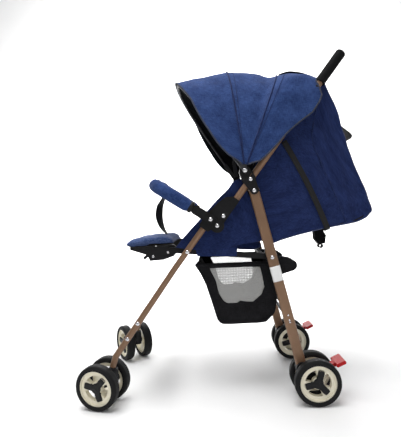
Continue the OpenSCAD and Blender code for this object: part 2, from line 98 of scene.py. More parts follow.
area_light("key", (0.35, 0.45, 2.8), (0.05, 0.05, 0.4), 2.4, 78)
area_light("fill", (-1.3, 2.2, 1.3), (0, 0.1, 0.5), 1.8, 7)
area_light("rim", (0.6, -1.6, 2.2), (0, 0, 0.6), 1.4, 12)
area_light("backdrop", (0.0, -1.9, 2.6), (0, -4.2, 0.9), 2.4, 260)
world = bpy.data.worlds.new("studio")
scene.world = world
world.use_nodes = True
sky = world.node_tree.nodes["Background"].inputs
sky["Color"].default_value = (1, 1, 1, 1)
sky["Strength"].default_value = 0.34


# ---- materials ----
def new_material(name, rough, metallic=0.0, sheen=0.0, coat=0.0, gloss=0.5):
    m = bpy.data.materials.new(name)
    m.use_nodes = True
    shader = m.node_tree.nodes["Principled BSDF"]
    shader.inputs["Roughness"].default_value = rough
    shader.inputs["Metallic"].default_value = metallic
    shader.inputs["Sheen Weight"].default_value = sheen
    shader.inputs["Sheen Roughness"].default_value = 0.5
    shader.inputs["Coat Weight"].default_value = coat
    shader.inputs["Specular IOR Level"].default_value = gloss
    return m, m.node_tree, shader


def node(tree, kind, values=(), **settings):
    n = tree.nodes.new(kind)
    for k, v in settings.items():
        setattr(n, k, v)
    for k, v in dict(values).items():
        n.inputs[k].default_value = v
    return n


def stretched(tree, source, scale=(1, 1, 1)):
    """Coordinates from the mesh, in metres, times a scale for each axis."""
    coordinates = node(tree, "ShaderNodeTexCoord")
    mapping = node(tree, "ShaderNodeMapping", {"Scale": scale})
    tree.links.new(coordinates.outputs[source], mapping.inputs["Vector"])
    return mapping.outputs["Vector"]


def texture(tree, source, stretch, scale, detail):
    n = node(tree, "ShaderNodeTexNoise", {"Scale": scale, "Detail": detail, "Roughness": 0.5})
    tree.links.new(stretched(tree, source, stretch), n.inputs["Vector"])
    return n.outputs["Fac"]


def coloured(tree, shader, factor, stops):
    """Base colour from a ramp of (place, colour) stops."""
    n = node(tree, "ShaderNodeValToRGB")
    points = n.color_ramp.elements
    while len(points) < len(stops):
        points.new(0.5)
    for point, (place, colour) in zip(points, stops):
        point.position, point.color = place, (*colour, 1)
    tree.links.new(factor, n.inputs["Fac"])
    tree.links.new(n.outputs["Color"], shader.inputs["Base Color"])


def maths(tree, operation, a, b):
    n = node(tree, "ShaderNodeMath", operation=operation)
    for i, v in enumerate((a, b)):
        if isinstance(v, (int, float)):
            n.inputs[i].default_value = v
        else:
            tree.links.new(v, n.inputs[i])
    return n.outputs[0]


def bumped(tree, shader, height, strength, distance):
    n = node(tree, "ShaderNodeBump", {"Strength": strength, "Distance": distance})
    tree.links.new(height, n.inputs["Height"])
    tree.links.new(n.outputs["Normal"], shader.inputs["Normal"])


WAVE_SCALE = 0.314159  # Blender's wave texture repeats every pi / (10 x scale)


def wave(tree, vector, direction, pitch):
    """Bands this many metres apart."""
    n = node(tree, "ShaderNodeTexWave", {"Scale": WAVE_SCALE / pitch}, bands_direction=direction)
    tree.links.new(vector, n.inputs["Vector"])
    return n.outputs["Fac"]


THREAD = 0.0011  # metres from one yarn to the next


def melange(name, dark, light, coordinates="UV", sheen=0.08):
    """Woven cloth of mixed light and dark yarns that run both ways."""
    m, tree, shader = new_material(name, 0.92, sheen=sheen, gloss=0.12)
    warp = texture(tree, coordinates, (70, 620, 620), 1, 3)
    weft = texture(tree, coordinates, (620, 70, 300), 1, 3)
    patch = texture(tree, coordinates, (24, 24, 24), 1, 4)
    yarns = [maths(tree, "MULTIPLY", yarn, 0.36) for yarn in (warp, weft)]
    both = maths(tree, "ADD", *yarns)
    both = maths(tree, "ADD", both, maths(tree, "MULTIPLY", patch, 0.28))
    middle = [(a + b) / 2 for a, b in zip(dark, light)]
    coloured(tree, shader, both, [(0.40, dark), (0.5, middle), (0.60, light)])
    plain = stretched(tree, coordinates)
    weave = maths(tree, "MULTIPLY", wave(tree, plain, "X", THREAD), wave(tree, plain, "Y", THREAD))
    bumped(tree, shader, maths(tree, "ADD", weave, maths(tree, "MULTIPLY", both, 2.0)), 0.35, 0.0004)
    return m


def webbing(name, colour):
    """Ribbed strap."""
    m, tree, shader = new_material(name, 0.7, sheen=0.05, gloss=0.2)
    grain = texture(tree, "UV", (900, 900, 900), 1, 3)
    shade = [tuple(c * k for c in colour) for k in (0.55, 1.5)]
    coloured(tree, shader, grain, [(0.3, shade[0]), (0.7, shade[1])])
    ribs = wave(tree, stretched(tree, "UV"), "DIAGONAL", 0.0024)
    bumped(tree, shader, maths(tree, "ADD", ribs, grain), 0.5, 0.0006)
    return m


def uneven_gloss(tree, shader, factor, low, high):
    uneven = node(tree, "ShaderNodeMapRange", {"To Min": low, "To Max": high})
    tree.links.new(factor, uneven.inputs["Value"])
    tree.links.new(uneven.outputs[0], shader.inputs["Roughness"])


def moulded(name, colour, rough, grain_scale=700, depth=0.00012, coat=0.0, wear=1.25, gloss=0.3):
    """Moulded plastic, rubber or foam: fine grain, and a faint change of tone."""
    m, tree, shader = new_material(name, rough, coat=coat, gloss=gloss)
    grain = texture(tree, "Object", (1, 1, 1), grain_scale, 4)
    tone = texture(tree, "Object", (1, 1, 1), 18, 3)
    low, high = tuple(c / wear for c in colour), tuple(min(1, c * wear) for c in colour)
    coloured(tree, shader, tone, [(0.25, low), (0.75, high)])
    uneven_gloss(tree, shader, tone, max(0.02, rough - 0.08), min(1, rough + 0.1))
    bumped(tree, shader, grain, 0.5, depth)
    return m


def metal(name, colour, rough, metallic, coat=0.0):
    m, tree, shader = new_material(name, rough, metallic, coat=coat)
    lines = texture(tree, "Object", (40, 40, 900), 1, 4)
    tone = texture(tree, "Object", (1, 1, 1), 9, 2)
    low, high = tuple(c * 0.86 for c in colour), tuple(min(1, c * 1.12) for c in colour)
    coloured(tree, shader, tone, [(0.3, low), (0.7, high)])
    uneven_gloss(tree, shader, lines, rough - 0.07, rough + 0.1)
    bumped(tree, shader, lines, 0.15, 0.00008)
    return m


def netting(name, colour, pitch):
    """Open mesh cloth: threads both ways, with clear gaps between them."""
    m, tree, shader = new_material(name, 0.8)
    plain = stretched(tree, "UV")
    threads = maths(tree, "MAXIMUM", wave(tree, plain, "X", pitch), wave(tree, plain, "Y", pitch))
    grain = texture(tree, "UV", (900, 900, 900), 1, 2)
    low, high = tuple(c * 0.7 for c in colour), tuple(c * 1.2 for c in colour)
    coloured(tree, shader, grain, [(0.3, low), (0.7, high)])
    solid = maths(tree, "GREATER_THAN", threads, 0.60)
    tree.links.new(solid, shader.inputs["Alpha"])
    bumped(tree, shader, threads, 0.4, 0.0004)
    return m


BLUE_DARK, BLUE_LIGHT = (0.009, 0.023, 0.088), (0.033, 0.068, 0.205)
NAVY_DARK, NAVY_LIGHT = (0.0045, 0.010, 0.048), (0.016, 0.030, 0.108)
blue = melange("blue_melange", BLUE_DARK, BLUE_LIGHT)
# the same blue cloth painted about twice as light: painted light from above on the leg rest's top
blue_painted_light = melange("blue_melange_painted_light", (0.022, 0.042, 0.120), (0.085, 0.125, 0.270), "Object")
navy = melange("navy_melange", NAVY_DARK, NAVY_LIGHT)
navy_pad = melange("navy_melange_pad", NAVY_DARK, NAVY_LIGHT, "Object")
BLACK_DARK, BLACK_LIGHT = (0.004, 0.004, 0.005), (0.012, 0.012, 0.014)
lining = melange("black_lining", BLACK_DARK, BLACK_LIGHT, sheen=0.03)
lining_pad = melange("black_lining_pad", BLACK_DARK, BLACK_LIGHT, "Object", sheen=0.03)
grey_piping = melange("grey_piping", (0.022, 0.026, 0.045), (0.060, 0.068, 0.100))
strap_black = webbing("black_webbing", (0.010, 0.010, 0.011))
window_net = netting("grey_net", (0.44, 0.44, 0.43), 0.0021)
tyre_rubber = moulded("tyre_rubber", (0.006, 0.006, 0.0065), 0.62, 500, 0.0003, gloss=0.18)
cream = moulded("cream_plastic", (0.80, 0.75, 0.60), 0.32, 400, 0.00005, coat=0.15, wear=1.04)
black_plastic = moulded("black_plastic", (0.006, 0.006, 0.007), 0.42, gloss=0.2)
matt_black = moulded("matt_black_plastic", (0.005, 0.005, 0.006), 0.85, gloss=0.05)
grey_plastic = moulded("dark_grey_plastic", (0.045, 0.045, 0.048), 0.5)
grip_foam = moulded("grip_foam", (0.005, 0.005, 0.0055), 0.8, 1100, 0.0005, gloss=0.12)
red_plastic = moulded("red_plastic", (0.42, 0.006, 0.008), 0.4, wear=1.08, gloss=0.15)
tube_paint = metal("brown_paint", (0.20, 0.113, 0.064), 0.42, 0.3, coat=0.06)
steel = metal("steel", (0.66, 0.66, 0.68), 0.22, 1.0)
label_paper = moulded("white_label", (0.80, 0.80, 0.80), 0.4, wear=1.03)

FINISHES = (  # the CAD pieces that stay in view, by how their names start
    (tyre_rubber, ("tyre_",)),
    (cream, ("wheel_",)),
    (tube_paint, ("front_leg_", "handle_tube_", "rear_leg_")),
    (grip_foam, ("grip_",)),
    (steel, ("front_axle_", "front_fasteners", "upper_rivets", "rear_axle", "rear_fasteners")),
    (black_plastic, ("lower_hinges", "upper_hinges", "canopy_brackets", "handle_crossbar", "caster_fork_",
                     "rear_wheel_housings", "seat_rails", "leg_rest_brackets", "leg_rest_lever", "bumper_bar")),
    (grey_plastic, ("footrest_plate", "rear_braces", "canopy_bow_")),
    (red_plastic, ("brake_pedal_",)),
    (matt_black, ("recline_buckle",)),
)
for name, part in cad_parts.items():
    for finish, starts in FINISHES:
        if name.startswith(starts):
            part.data.materials.clear()
            part.data.materials.append(finish)


BUMPER_FACE = 203.2  # mm from the middle of the stroller; only the bumper's rivet heads are farther out
bumper_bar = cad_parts["bumper_bar"]
bumper_bar.data.materials.append(steel)
for p in bumper_bar.data.polygons:
    if abs((bumper_bar.matrix_world @ p.center).y * 1000 + MID[1]) > BUMPER_FACE:
        p.material_index = 1


# ---- mesh helpers ----
def row_faces(n, m):
    """Faces between n rows of m points."""
    return [(i * m + j, i * m + j + 1, (i + 1) * m + j + 1, (i + 1) * m + j)
            for i in range(n - 1) for j in range(m - 1)]


def ring_faces(n, m):
    """Faces between n closed rings of m points."""
    return [(i * m + j, i * m + (j + 1) % m, (i + 1) * m + (j + 1) % m, (i + 1) * m + j)
            for i in range(n - 1) for j in range(m)]


def end_faces(n, m):
    """A face over the first ring and one over the last."""
    return [tuple(range(m - 1, -1, -1)), tuple((n - 1) * m + j for j in range(m))]


def shade_smooth(mesh):
    mesh.polygons.foreach_set("use_smooth", [True] * len(mesh.polygons))


def mesh_object(name, points, faces, materials, uvs=None):
    """points are mm from the rear axle; uvs hold one place on the cloth for each point, in metres."""
    mesh = bpy.data.meshes.new(name)
    mesh.from_pydata([tuple(v) for v in at(points)], [], [tuple(f) for f in faces])
    if uvs is not None:
        layer = mesh.uv_layers.new(name="UVMap")
        index = np.empty(len(mesh.loops), int)
        mesh.loops.foreach_get("vertex_index", index)
        layer.data.foreach_set("uv", np.asarray(uvs, float)[index].ravel())
    shade_smooth(mesh)
    for m in materials if isinstance(materials, (list, tuple)) else [materials]:
        mesh.materials.append(m)
    mesh.update()
    return added(name, mesh)


def grid_object(name, points, materials):
    """A cloth from rows of points."""
    points = np.asarray(points, float)
    n, m = points.shape[:2]
    down = np.linalg.norm(np.diff(points, axis=0, prepend=points[:1]), axis=2).cumsum(0) / 1000
    side = np.linalg.norm(np.diff(points, axis=1, prepend=points[:, :1]), axis=2).cumsum(1) / 1000
    uvs = np.stack([down, side - side[:, m // 2:m // 2 + 1]], 2)
    return mesh_object(name, points.reshape(-1, 3), row_faces(n, m), materials, uvs.reshape(-1, 2))


def applied(obj):
    """obj with the modifiers that were added to it made final."""
    bpy.context.view_layer.update()
    graph = bpy.context.evaluated_depsgraph_get()
    mesh = bpy.data.meshes.new_from_object(obj.evaluated_get(graph))
    obj.modifiers.clear()
    obj.data = mesh
    return obj


def thicken(obj, mm, inner_material=0, subdivide=0, offset=-1.0):
    if subdivide:
        sub = obj.modifiers.new("subdivide", "SUBSURF")
        sub.levels = sub.render_levels = subdivide
    solid = obj.modifiers.new("thickness", "SOLIDIFY")
    solid.thickness, solid.offset, solid.material_offset = mm / 1000, offset, inner_material
    solid.use_even_offset = False
    return applied(obj)


def travelled(path):
    """How far along a path each of its points is."""
    return np.linalg.norm(np.diff(path, axis=0, prepend=path[:1]), axis=1).cumsum()


def line_points(points, n, smooth=True):
    """n points spread evenly along a smooth curve through the given ones."""
    points = np.asarray(points, float)
    if smooth and len(points) > 2:
        before, after = 2 * points[0] - points[1], 2 * points[-1] - points[-2]
        knots = np.vstack([before, points, after])
        fine = []
        for o, p, q, r in zip(knots, knots[1:], knots[2:], knots[3:]):
            for t in np.linspace(0, 1, 12, endpoint=False):
                curve = (2 * o - 5 * p + 4 * q - r) * t * t + (3 * p - o - 3 * q + r) * t ** 3
                fine.append((2 * p + (q - o) * t + curve) / 2)
        points = np.vstack([fine, points[-1:]])
    length = travelled(points)
    spots = np.linspace(0, length[-1], n)
    return np.stack([np.interp(spots, length, points[:, k]) for k in range(points.shape[1])], 1)


def at_y(y, points):
    """Places in the side view, this far across."""
    return [(x, y, z) for x, z in points]


def frames_along(path):
    """Two directions square to a path at each of its points, without twist."""
    tangent = np.gradient(path, axis=0)
    tangent /= np.linalg.norm(tangent, axis=1)[:, None]
    normal = np.cross(tangent[0], [0, 0, 1.0] if abs(tangent[0][2]) < 0.9 else [0, 1.0, 0])
    normals = []
    for t in tangent:
        normal = normal - t * (normal @ t)
        normal /= np.linalg.norm(normal)
        normals.append(normal)
    normals = np.array(normals)
    return normals, np.cross(tangent, normals)


def tube_object(name, path, radius, materials, sides=12, swell=None):
    """A round tube along a path; swell(share of the length, angle) adds to its radius."""
    path = np.asarray(path, float)
    normal, side = frames_along(path)
    share = np.linspace(0, 1, len(path))
    angle = full_turn(sides)
    radius = np.full((len(path), sides), float(radius))
    if swell is not None:
        radius = radius + swell(share[:, None], angle[None, :])
    rings = path[:, None] + radius[..., None] * (
        np.cos(angle)[None, :, None] * normal[:, None] + np.sin(angle)[None, :, None] * side[:, None])
    n, m = rings.shape[:2]
    faces = ring_faces(n, m) + end_faces(n, m)
    length = travelled(path) / 1000
    uvs = np.stack(np.broadcast_arrays(length[:, None], angle[None, :] * radius.mean() / 1000), 2)
    return mesh_object(name, rings.reshape(-1, 3), faces, materials, uvs.reshape(-1, 2))


def strap_object(name, path, across, width, thick):
    """A flat strap along a path; across says which way its width runs, once or for each point."""
    path = np.asarray(path, float)
    across = np.asarray(across, float)
    across = across / np.linalg.norm(across, axis=-1, keepdims=True)
    tangent = np.gradient(path, axis=0)
    face = np.cross(tangent, across)
    face /= np.linalg.norm(face, axis=1)[:, None]
    wide = np.cross(face, tangent)
    wide /= np.linalg.norm(wide, axis=1)[:, None]
    # its section, in shares of its width and its thickness
    edge = [(-0.5, -0.3), (-0.46, -0.5), (-0.2, -0.5), (0.2, -0.5), (0.46, -0.5), (0.5, -0.3),
            (0.5, 0.3), (0.46, 0.5), (0.2, 0.5), (-0.2, 0.5), (-0.46, 0.5), (-0.5, 0.3)]
    rings = np.stack([path + wide * a * width + face * b * thick for a, b in edge], 1)
    n, m = rings.shape[:2]
    faces = [face[::-1] for face in ring_faces(n, m) + end_faces(n, m)]
    length = travelled(path) / 1000
    around = np.array([a * width for a, b in edge]) / 1000
    uvs = np.stack(np.broadcast_arrays(around[None, :], length[:, None]), 2)
    return mesh_object(name, rings.reshape(-1, 3), faces, strap_black, uvs.reshape(-1, 2))


def rough_noise(points, scale, seed):
    """Smooth noise from about -1 to 1 at each point; scale is the size of a bump in mm."""
    flat = np.asarray(points, float).reshape(-1, 3)
    start = Vector((seed, 2 * seed, 3 * seed))
    values = [noise.fractal(Vector(p) / scale + start, 1.0, 2.0, 3) for p in flat]
    return np.array(values).reshape(np.asarray(points).shape[:-1])


def clean(obj):
    """Faces looking outwards, for a closed mesh."""
    b = bmesh.new()
    b.from_mesh(obj.data)
    bmesh.ops.recalc_face_normals(b, faces=b.faces)
    b.to_mesh(obj.data)
    b.free()
    obj.data.update()
    return obj


def carried(obj, body):
    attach(obj, body)


# ---- stage ----
def make_stage():
    """A floor that bends up into a backdrop behind the stroller; metres in the row frame."""
    bend_y, bend = -2.6, 1.6  # where the floor starts to bend, and the bend's radius
    path = [(y, 0.0) for y in (4.0, 1.0, -1.0, bend_y)]
    path += [(bend_y - bend * math.sin(a), bend - bend * math.cos(a))
             for a in np.linspace(0.1, math.pi / 2, 16)]
    path += [(bend_y - bend, 6.0)]
    below = 0.0004  # under the tyres by this much
    rows = [[(x, y, z - below) for y, z in path] for x in (-9.0, -3.0, 3.0, 9.0)]
    mesh = bpy.data.meshes.new("floor")
    faces = [face[::-1] for face in row_faces(len(rows), len(path))]
    mesh.from_pydata([p for row in rows for p in row], [], faces)
    shade_smooth(mesh)
    m_floor, tree, shader = new_material("pale_floor", 0.85)
    tone = texture(tree, "Object", (1, 1, 1), 1.5, 2)
    coloured(tree, shader, tone, [(0.2, (0.90, 0.90, 0.90)), (0.8, (0.92, 0.92, 0.92))])
    mesh.materials.append(m_floor)
    floor = added("floor", mesh)


make_stage()


# ---- canopy ----
def smooth(x):
    x = np.clip(x, 0, 1)
    return x * x * (3 - 2 * x)


RIB_1, RIB_2 = 84.0, 111.5  # degrees about the canopy's pivot
PHI_LOW, PHI_HIGH = 2.9, 177.1  # degrees round the cross section, from hem to hem
COLUMNS = 84
# each hem is a list of (mm out from the pivot, degrees about it)
FRONT_HEM = [(17, 66), (40, 51), (61, 45.5), (97, 46.5), (147, 50.5), (211, 53.7), (262, 56.4), (420, 57)]
REAR_HEM = [(17, 118), (40, 152), (96, 145), (151, 141), (197, 141), (246, 142), (278, 140),
            (296, 139), (308, 135), (322, 130.5), (420, 130.5)]


def hem(table):
    ups, angles = zip(*table)
    return lambda up: np.interp(up, ups, angles)


def canopy_section(theta):
    """How square the canopy's cross section is, and its half width and height in mm, at an angle about the
    pivot; it turns boxy at the rear, where it wraps the handle tubes."""
    squareness = 2.6 + 6.4 * smooth((theta - 106) / 20)
    half = 198 + 3 * smooth((theta - 104) / 15)
    top = 328 + 0.02 * (theta - 100) ** 2 - 11 * np.exp(-((theta - 113) / 9) ** 2)
    return squareness, half, top


def canopy_surface(theta, phi, lift=0.0):
    """Points of the canopy, and how far each is from the pivot in the side view."""
    n, half, top = canopy_section(theta)
    half, top = half + lift, top + lift
    c, s = np.cos(np.radians(phi)), np.sin(np.radians(phi))
    k = (np.abs(c) ** n + np.abs(s) ** n) ** (-1 / n)
    up, out, a = top * s * k, -half * c * k, np.radians(theta)
    return np.stack([PIVOT[0] + up * np.cos(a), out, PIVOT[1] + up * np.sin(a)], -1), up


def gore(edges, rows, sag, seed):
    """Cloth stretched from edge to edge; each edge gives an angle for a distance from the pivot."""
    bands = [np.linspace(i, i + 1, n, endpoint=i == len(rows) - 1) for i, n in enumerate(rows)]
    share = np.concatenate(bands)[:, None]
    phi = np.linspace(PHI_LOW, PHI_HIGH, COLUMNS)[None, :]
    theta = np.full((len(share), COLUMNS), 90.0)
    lower = np.minimum(share.astype(int), len(edges) - 2)
    part = share - lower
    for _ in range(5):  # an edge's angle depends on the distance, and the distance on the angle
        up = canopy_surface(theta, phi)[1]
        at_edge, band = [e(up) for e in edges], np.broadcast_to(lower, up.shape)
        first, last = np.choose(band, at_edge[:-1]), np.choose(band, at_edge[1:])
        theta = first * (1 - part) + last * part
    points, up = canopy_surface(theta, phi)
    between = np.sin(np.pi * part) * np.minimum(1, up / 140)
    broad = rough_noise(points * (0.45, 1, 1), 42, seed) * 3.4
    creases = broad + rough_noise(points * (0.5, 1, 1.4), 17, seed + 3) * 1.1
    lift = -sag * between + creases * np.minimum(1, 0.25 + between) * np.minimum(1, up / 90)
    return canopy_surface(theta, phi, lift)[0]


def beside_rib(mm):
    """A place this far in front of the pivot, square to the rib that turns the middle of the canopy."""
    rib = math.radians(RIB_1)
    x, z = PIVOT + mm * np.array([math.sin(rib), -math.cos(rib)])
    return tuple(at((x, MID[1], z)))


def front_blend(obj):
    beside_rib(0)
    beside_rib(80)
    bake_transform(obj)


def rear_blend(obj):
    beside_rib(-175)
    beside_rib(0)
    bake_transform(obj)


def straight(angle):
    return lambda up: up * 0 + angle


front_points = gore([hem(FRONT_HEM), straight(RIB_1)], [16], 5.0, 1.0)
rear_points = gore([straight(RIB_1), straight(RIB_2), hem(REAR_HEM)], [15, 20], 1.8, 5.0)
front_gore = clean(thicken(grid_object("canopy_front_gore", front_points, [blue, lining]), 2.0, 1, subdivide=1))
rear_gore = clean(thicken(grid_object("canopy_rear_gore", rear_points, [blue, lining]), 2.0, 1, subdivide=1))


def inside_dark(obj, centre):
    """The lining's finish on the faces that look in towards a point of the axle frame."""
    middle = at(centre)
    for p in obj.data.polygons:
        away = np.array(p.center) - middle
        p.material_index = 1 if np.dot(np.array(p.normal), away) < 0 else 0


for cover, seam_place in ((front_gore, front_blend), (rear_gore, rear_blend)):
    inside_dark(cover, (PIVOT[0], 0, PIVOT[1] + 20))
    seam_place(cover)
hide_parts("canopy_front")
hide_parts("canopy_rear")


def canopy_cord(name, path, radius, finish, place):
    cord = tube_object(name, line_points(path, 150, smooth=False), radius, finish, sides=8)
    place(cord)


def over_canopy(angle, low, high, lift):
    return canopy_surface(np.full(COLUMNS, angle), np.linspace(low, high, COLUMNS), lift)[0]


def with_mid(obj):
    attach(obj, "canopy_mid")


canopy_cord("canopy_front_piping", front_points[0], 2.3, grey_piping, front_blend)
canopy_cord("canopy_rear_piping", rear_points[-1], 2.3, grey_piping, rear_blend)
for i, (angle, place) in enumerate(((RIB_1, with_mid), (RIB_2, rear_blend))):
    canopy_cord(f"canopy_rib_seam_{i + 1}", over_canopy(angle, PHI_LOW, PHI_HIGH, 0.9), 2.2, navy, place)
for i, angle in enumerate((RIB_1 + 3.0, RIB_2 + 3.4)):
    canopy_cord(f"canopy_topstitch_{i + 1}", over_canopy(angle, 6, 174, 0.1), 0.7, navy, rear_blend)

# the flap over the rear window, which lies on the rear of the canopy and hangs down over the back cover
FLAP_HALF = 124  # mm
FLAP_LAID = 0.72  # the share of its length that lies on the canopy
flap_rows = []
for step in np.linspace(0, 1, 34):
    theta = 112.5 + 18 * min(1, step / FLAP_LAID)
    y = np.linspace(-FLAP_HALF, FLAP_HALF, 45)
    bulge, half, top = canopy_section(theta)
    crown = top * (1 - np.abs(y / half) ** bulge) ** (1 / bulge)
    lift = 4.5 + 17 * math.sin(math.pi * min(1, step / 0.78)) ** 0.7 * (1 - 0.6 * (y / FLAP_HALF) ** 2)
    x = PIVOT[0] + (crown + lift) * math.cos(math.radians(theta))
    z = PIVOT[1] + (crown + lift) * math.sin(math.radians(theta))
    fall = max(0, step - FLAP_LAID) / (1 - FLAP_LAID)
    x, z = x - 22 * fall + 8 * fall ** 2, z - 46 * fall ** 1.4
    flap_rows.append(np.stack([x, y, z], -1))
flap_rows = np.array(flap_rows)
flap_rows[..., 2] += rough_noise(flap_rows, 40, 7) * 2.0
flap = clean(thicken(grid_object("window_flap", flap_rows, lining), 1.8, subdivide=1))
carried(flap, "upper_frame")


# ---- cover round the reclined back: two sides, an underside and the back ----
SHELL_HALF = 166.0
# its side's front edge and back edge, as (x, z), step by step from the seat to the canopy
SHELL_FRONT = [(115, 452), (118, 490), (121, 530), (126, 566), (140, 610), (150, 646), (148, 678), (112, 724),
               (66, 778), (10, 836), (-30, 877), (-53, 899)]
SHELL_BACK = [(112, 446), (40, 466), (-46, 485), (-110, 494), (-152, 501), (-182, 515), (-192, 536),
              (-176, 590), (-152, 655), (-122, 745), (-103, 838), (-70, 905)]
SHELL_ROWS = 54


def fold_with_back(obj):
    """The cover rides with the upper frame, which holds the handle tubes."""
    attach(obj, "upper_frame")
    tuple(at((112, 0, 458)))
    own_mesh(obj)
    return obj


def shell_section(front, back):
    """One line across the cover, from its left front edge round the back to the right."""
    gap = back - front
    length = max(np.linalg.norm(gap), 1e-6)
    corner = min(22.0, 0.45 * length)
    way = gap / length
    side = [(front + way * s, SHELL_HALF) for s in np.linspace(0, length - corner, 26)]
    bend = [(back - way * corner * (1 - math.sin(a)), SHELL_HALF - corner * (1 - math.cos(a)))
            for a in np.linspace(0, math.pi / 2, 8)[1:]]
    half = [(p[0], y, p[1]) for p, y in side + bend]
    across = np.linspace(SHELL_HALF - corner, corner - SHELL_HALF, 25)[1:-1]
    middle = [(back[0], y, back[1]) for y in across]
    return half + middle + [(x, -y, z) for x, y, z in reversed(half)]


def keyed(points):
    """Smooth rows that keep the given points in step with each other."""
    points = np.asarray(points, float)
    keys, spots = np.linspace(0, 1, len(points)), np.linspace(0, 1, SHELL_ROWS)
    fine = [np.interp(spots, keys, points[:, k]) for k in range(2)]
    for _ in range(2):
        fine = [np.concatenate([[f[0]], (f[:-2] + 2 * f[1:-1] + f[2:]) / 4, [f[-1]]]) for f in fine]
    return np.stack(fine, 1)


fronts, backs = keyed(SHELL_FRONT), keyed(SHELL_BACK)
shell = np.array([shell_section(f, b) for f, b in zip(fronts, backs)])


def slack(points):
    """How far the cover's cloth stands out from its flat sides, in mm: long soft folds from top to bottom."""
    points = np.asarray(points, float)
    long_folds = rough_noise(points * (1.0, 0.5, 0.45), 42, 11) * 8.0
    return np.clip(long_folds + rough_noise(points, 18, 13) * 1.3 - 2.0, -9, 1.4)


ripple = slack(shell)
is_side = np.abs(shell[..., 1]) > SHELL_HALF - 1
along_row = np.linspace(0, 1, shell.shape[1])[None, :]
rise = np.linspace(0, 1, SHELL_ROWS)[:, None]
# 0 where the cloth is sewn down, 1 where it is free to fold
free = np.minimum(1, np.minimum(rise, 1 - rise) * 9)
free = free * np.minimum(1, np.minimum(along_row, 1 - along_row) * 12)
shell[..., 1] += np.where(is_side, np.sign(shell[..., 1]) * ripple, 0) * free
shell[..., 0] += -np.abs(ripple) * 0.9 * np.where(is_side, 0, 1) * free * (rise > 0.5)
back_cover = clean(thicken(grid_object("back_cover", shell, [navy, lining]), 2.0, 1, subdivide=1))
inside_dark(back_cover, (0, 0, 640))
fold_with_back(back_cover)
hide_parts("rear_shell")

SEAM_LINE = [(-50, 872), (-36, 812), (-25, 760), (-30, 722), (-58, 650), (-88, 570), (-113, 503)]
STRAP_LINE = [(57, 744), (29, 690), (2, 635), (-16, 594), (-34, 550), (-55, 494)]
TAB_LINE = [(-108, 838), (-134, 822), (-162, 800), (-186, 777), (-176, 764), (-146, 768), (-126, 782)]
STRAP_ACROSS = (0.93, 0, -0.37)  # square to the straps, in the plane of the cover's side
for side, word in SIDES:
    path = np.array(at_y(side * SHELL_HALF, line_points(SEAM_LINE, 60)))
    path[:, 1] += side * (slack(path) + 0.8)
    fold_with_back(tube_object(f"cover_seam_{word}", path, 1.6, navy, sides=8))
    edge = at_y(side * (SHELL_HALF - 0.5), fronts[4:])
    fold_with_back(tube_object(f"cover_binding_{word}", edge, 2.4, lining, sides=8))
    path = at_y(side * (SHELL_HALF + 3.2), line_points(STRAP_LINE, 40))
    path += [(-58, side * (SHELL_HALF + 1.0), 485), (-59, side * (SHELL_HALF - 14), 481.5)]  # in under the back
    strap = strap_object(f"recline_strap_{word}", path, STRAP_ACROSS, 16, 1.8)
    if side == LEFT:
        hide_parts("recline_straps")
    fold_with_back(strap)

tab_path = at_y(0, line_points(TAB_LINE, 40))
tab_strap = strap_object("rear_pull_tab", tab_path, (0, 1, 0), 64, 2.2)
fold_with_back(tab_strap)


# ---- padded pieces, inflated as cloth ----
def inset(outline, mm):
    """A closed outline drawn in by this many mm."""
    outline = np.asarray(outline, float)
    area = 0.5 * sum(a[0] * b[1] - b[0] * a[1] for a, b in zip(outline, np.roll(outline, -1, 0)))
    turn = 1 if area > 0 else -1
    result = []
    for before, here, after in zip(np.roll(outline, 1, 0), outline, np.roll(outline, -1, 0)):
        a, b = here - before, after - here
        normal = np.array([-a[1], a[0]]) / np.linalg.norm(a) + np.array([-b[1], b[0]]) / np.linalg.norm(b)
        normal /= max(np.linalg.norm(normal), 0.5)
        result.append(here + turn * normal * mm)
    return np.array(result)


CLOTH_FRAMES = 20


